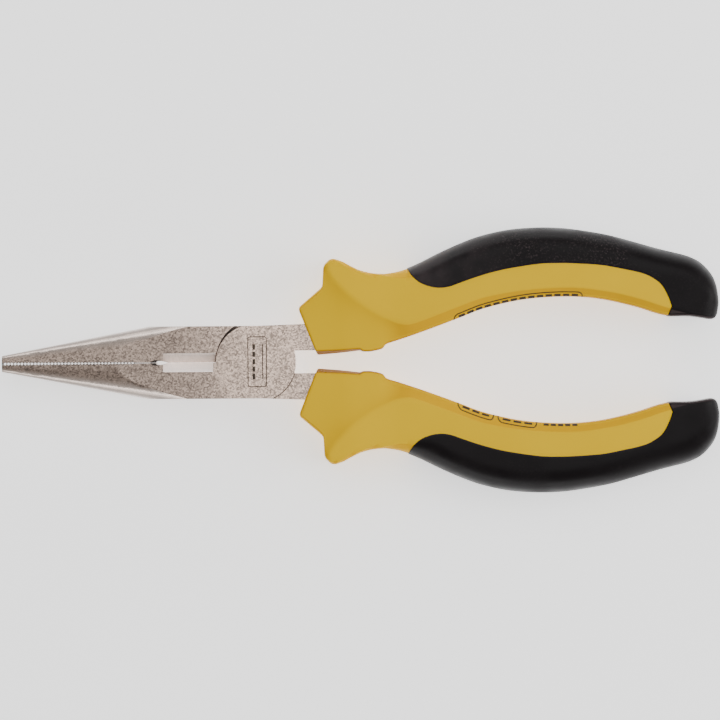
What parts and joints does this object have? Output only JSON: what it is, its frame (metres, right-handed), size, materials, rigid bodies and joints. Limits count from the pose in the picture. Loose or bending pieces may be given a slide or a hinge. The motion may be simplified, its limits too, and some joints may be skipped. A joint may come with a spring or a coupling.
{
  "type": "needle nose pliers",
  "caption": "Needle nose pliers with long tapered toothed jaws, a side cutter by a riveted lap joint, and curved two-component grips with finger guards.",
  "frame": {"origin": "on the pivot axis, at the joint's flat back face", "axes": "+Z along the pivot axis to the joint's front face; +X along the closed jaws' closing line towards the handles; +Y to the side of the upper handle"},
  "size_m": [0.16, 0.0594, 0.0154],
  "materials": {
    "tool_steel": "satin, fine shot-blasted grain",
    "rivet_steel": "satin, ground flush",
    "yellow_plastic": "semi-gloss",
    "black_soft_plastic": "satin with a fine grain"
  },
  "bodies": {
    "lower_jaw_side": {"lower_jaw_lever": "tool_steel", "pivot_rivet": "rivet_steel", "upper_grip_sleeve": "yellow_plastic", "upper_grip_cover": "black_soft_plastic"},
    "upper_jaw_side": {"upper_jaw_lever": "tool_steel", "lower_grip_sleeve": "yellow_plastic", "lower_grip_cover": "black_soft_plastic"}
  },
  "joints": [
    {"name": "pivot", "type": "hinge", "parent": "lower_jaw_side", "child": "upper_jaw_side", "pos_m": [0, 0, 0.0045], "axis": [0, 0, -1], "range_deg": [0, 45]}
  ]
}
